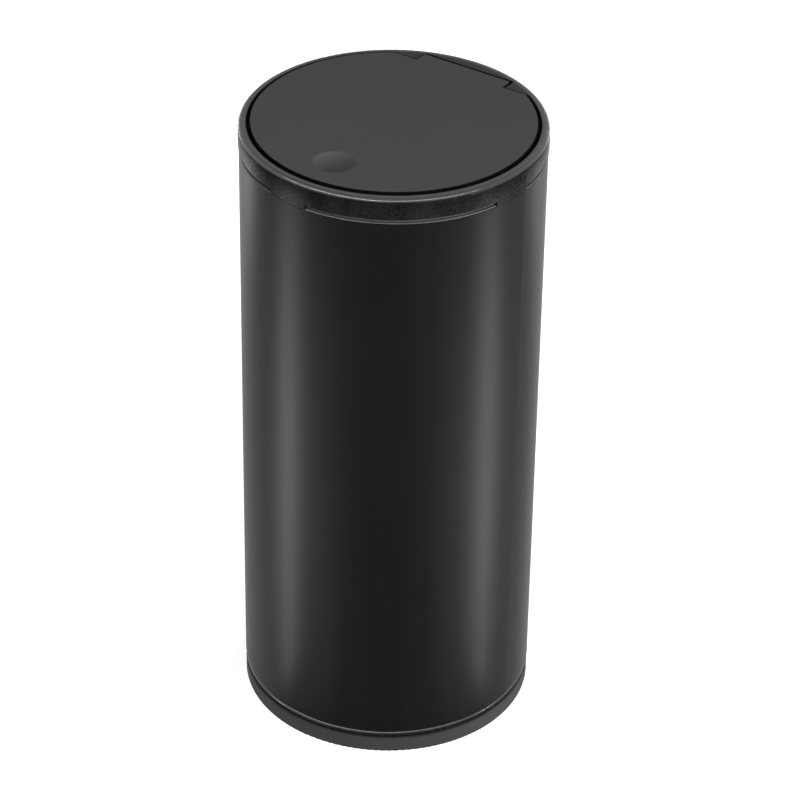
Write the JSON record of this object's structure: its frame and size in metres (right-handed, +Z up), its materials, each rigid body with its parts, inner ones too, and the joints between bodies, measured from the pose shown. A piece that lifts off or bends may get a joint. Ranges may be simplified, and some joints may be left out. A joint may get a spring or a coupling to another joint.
{
  "type": "car trash bin",
  "caption": "Slim cylindrical car trash bin: black metal tube, lift-off top ring and a press-to-open hinged lid with a thumb dish.",
  "frame": {"origin": "centre of the foot's underside, on the surface the bin stands on", "axes": "+Z up along the tube's axis, +Y towards the lid's hinge, -Y towards the thumb dish"},
  "size_m": [0.078, 0.078, 0.1713],
  "materials": {
    "tube_alloy": "satin black anodised aluminium tube",
    "moulded_black": "black ABS with a fine moulded grain",
    "inner_black": "smooth black plastic",
    "foot_rubber": "matte dark grey soft-touch rubber",
    "lid_matte": "matte dark grey soft-touch plastic",
    "acetal": "smooth dark acetal",
    "steel_pin": "ground steel",
    "spring_steel": "drawn spring wire",
    "zinc_screw": "zinc-plated steel"
  },
  "bodies": {
    "bin": {"body_tube": "tube_alloy", "rim_collar": "inner_black", "base_plug": "moulded_black", "foot_ring": "foot_rubber"},
    "top": {"top_ring": "moulded_black", "hinge_pin": "steel_pin", "lid_spring": "spring_steel", "latch_case": "acetal", "latch_cover": "inner_black", "latch_spring": "spring_steel", "cam_wire": "steel_pin", "latch_screw_left": "zinc_screw", "latch_screw_right": "zinc_screw"},
    "lid": {"lid_panel": "lid_matte", "lid_strike": "acetal", "strike_screw_left": "zinc_screw", "strike_screw_right": "zinc_screw"},
    "latch": {"latch_plunger": "acetal"}
  },
  "joints": [
    {"name": "ring_lift", "type": "slide", "parent": "bin", "child": "top", "axis": [0, 0, 1], "range_m": [0, 0.03]},
    {"name": "lid_hinge", "type": "hinge", "parent": "top", "child": "lid", "pos_m": [0, 0.0318, 0.1693], "axis": [-1, 0, 0], "range_deg": [0, 88], "deforming": ["lid_spring"]},
    {"name": "latch_slide", "type": "slide", "parent": "top", "child": "latch", "axis": [0, 0, 1], "range_m": [0, 0.0035], "deforming": ["latch_spring", "latch_plunger"]}
  ],
  "couplings": [
    {"joint": "latch_slide", "follows": "lid_hinge", "m_per_rad": 0.00227}
  ]
}
